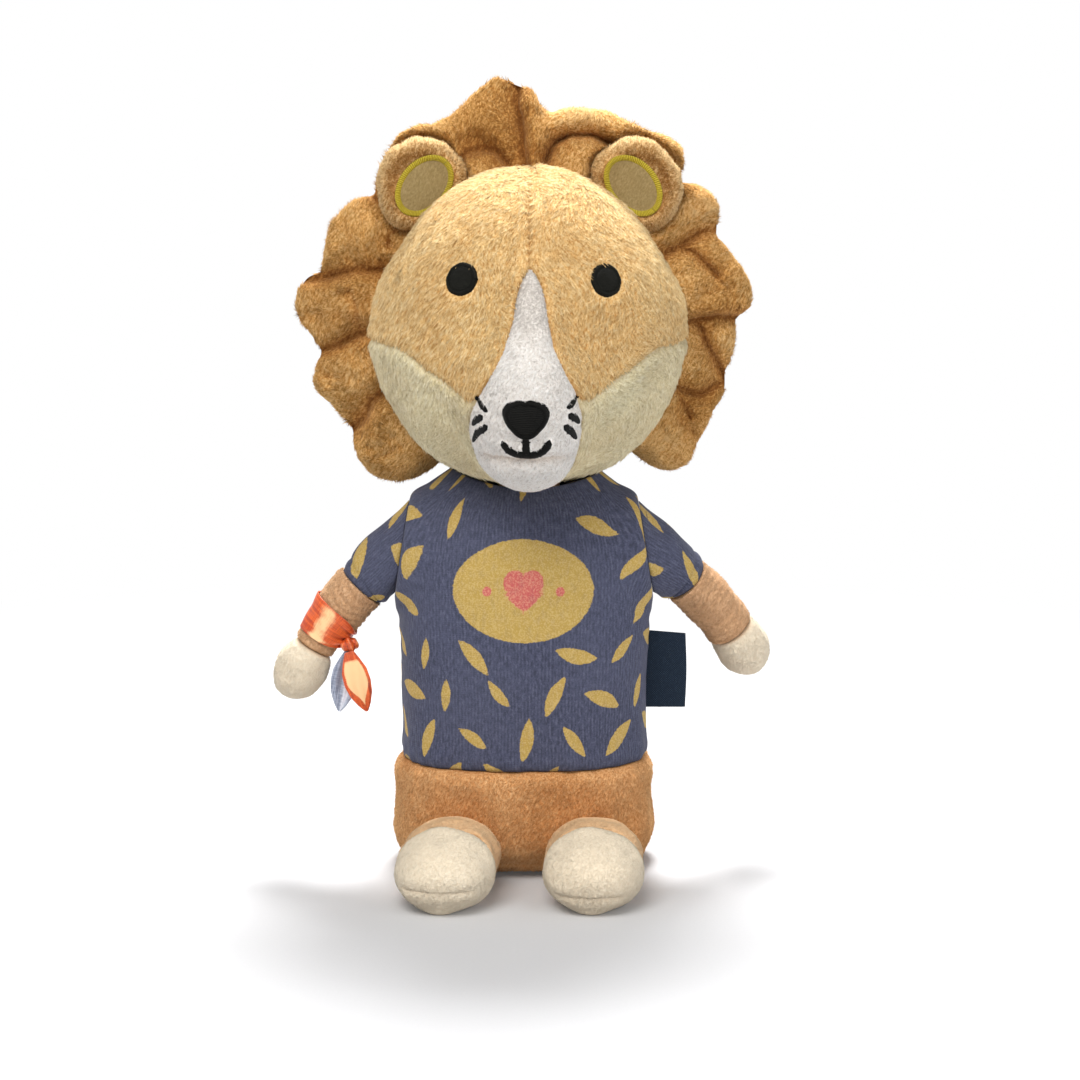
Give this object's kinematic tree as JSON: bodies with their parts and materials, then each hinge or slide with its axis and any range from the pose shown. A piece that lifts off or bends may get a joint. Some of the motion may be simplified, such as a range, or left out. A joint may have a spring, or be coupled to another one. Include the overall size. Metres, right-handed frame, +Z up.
{
  "type": "soft toy lion",
  "caption": "Sitting plush lion with a gathered mane, embroidered face, printed shirt, jointed soft limbs and a satin ribbon tied round its wrist.",
  "frame": {"origin": "middle of the flat base that the body sits on", "axes": "+Z up through the head, -Y towards what the face looks at, +X towards the toy's own left arm"},
  "size_m": [0.1813, 0.1313, 0.2807],
  "materials": {
    "tan_plush": "short tan plush pile",
    "mane_plush": "short brown plush pile, gathered",
    "white_plush": "short white plush pile",
    "cream_velour": "cream velour",
    "tan_velour": "tan velour",
    "shirt_jersey": "slate blue knitted jersey, printed",
    "black_thread": "black satin-stitch embroidery",
    "ear_velour": "velour with a stitched yellow edge",
    "orange_satin": "orange satin ribbon",
    "blue_satin": "pale blue satin ribbon",
    "navy_weave": "navy woven tape"
  },
  "bodies": {
    "body": {"torso": "shirt_jersey", "seat": "tan_velour"},
    "neck": {"neck": "tan_velour"},
    "head": {"head": "tan_plush", "muzzle": "white_plush", "nose": "black_thread", "eye_left": "black_thread", "eye_right": "black_thread", "ear_left": "tan_plush", "ear_right": "tan_plush", "ear_lining_left": "ear_velour", "ear_lining_right": "ear_velour", "mane": "mane_plush"},
    "arm_right": {"sleeve_right": "shirt_jersey", "forearm_right": "tan_velour", "hand_right": "cream_velour", "ribbon_band": "orange_satin", "ribbon_knot": "orange_satin"},
    "arm_left": {"sleeve_left": "shirt_jersey", "forearm_left": "tan_velour", "hand_left": "cream_velour"},
    "ribbon_tails": {"ribbon_tail_orange": "orange_satin", "ribbon_tail_blue": "blue_satin"},
    "leg_right": {"leg_right": "tan_velour", "foot_right": "cream_velour"},
    "leg_left": {"leg_left": "tan_velour", "foot_left": "cream_velour"},
    "label": {"side_label": "navy_weave"}
  },
  "joints": [
    {"name": "neck_turn", "type": "hinge", "parent": "body", "child": "neck", "pos_m": [0.0018, -0.002, 0.1953], "axis": [0, 0, 1], "range_deg": [-30, 30], "stiffness_Nm_per_rad": 0.4},
    {"name": "head_nod", "type": "hinge", "parent": "neck", "child": "head", "pos_m": [0.0018, -0.002, 0.1953], "axis": [1, 0, 0], "range_deg": [-12, 8], "stiffness_Nm_per_rad": 0.4},
    {"name": "shoulder_right", "type": "hinge", "parent": "body", "child": "arm_right", "pos_m": [-0.0438, 0, 0.1158], "axis": [-0.9877, 0, 0.1564], "range_deg": [-40, 60], "stiffness_Nm_per_rad": 0.08},
    {"name": "shoulder_left", "type": "hinge", "parent": "body", "child": "arm_left", "pos_m": [0.0438, 0, 0.1158], "axis": [-0.9877, 0, -0.1564], "range_deg": [-16, 84], "stiffness_Nm_per_rad": 0.08},
    {"name": "ribbon_swing", "type": "hinge", "parent": "arm_right", "child": "ribbon_tails", "pos_m": [-0.06299, -0.00509, 0.07756], "axis": [1, 0, 0], "range_deg": [-25, 25]},
    {"name": "hip_right", "type": "hinge", "parent": "body", "child": "leg_right", "pos_m": [-0.025, -0.04, 0.0126], "axis": [-0.9945, 0.1045, 0], "range_deg": [-20, 30], "stiffness_Nm_per_rad": 0.1},
    {"name": "hip_left", "type": "hinge", "parent": "body", "child": "leg_left", "pos_m": [0.025, -0.04, 0.0126], "axis": [-0.9994, 0.0349, 0], "range_deg": [-20, 30], "stiffness_Nm_per_rad": 0.1},
    {"name": "label_flap", "type": "hinge", "parent": "body", "child": "label", "pos_m": [0.0458, 0, 0.0707], "axis": [0, 0, 1], "range_deg": [-50, 50], "stiffness_Nm_per_rad": 0.0003}
  ]
}
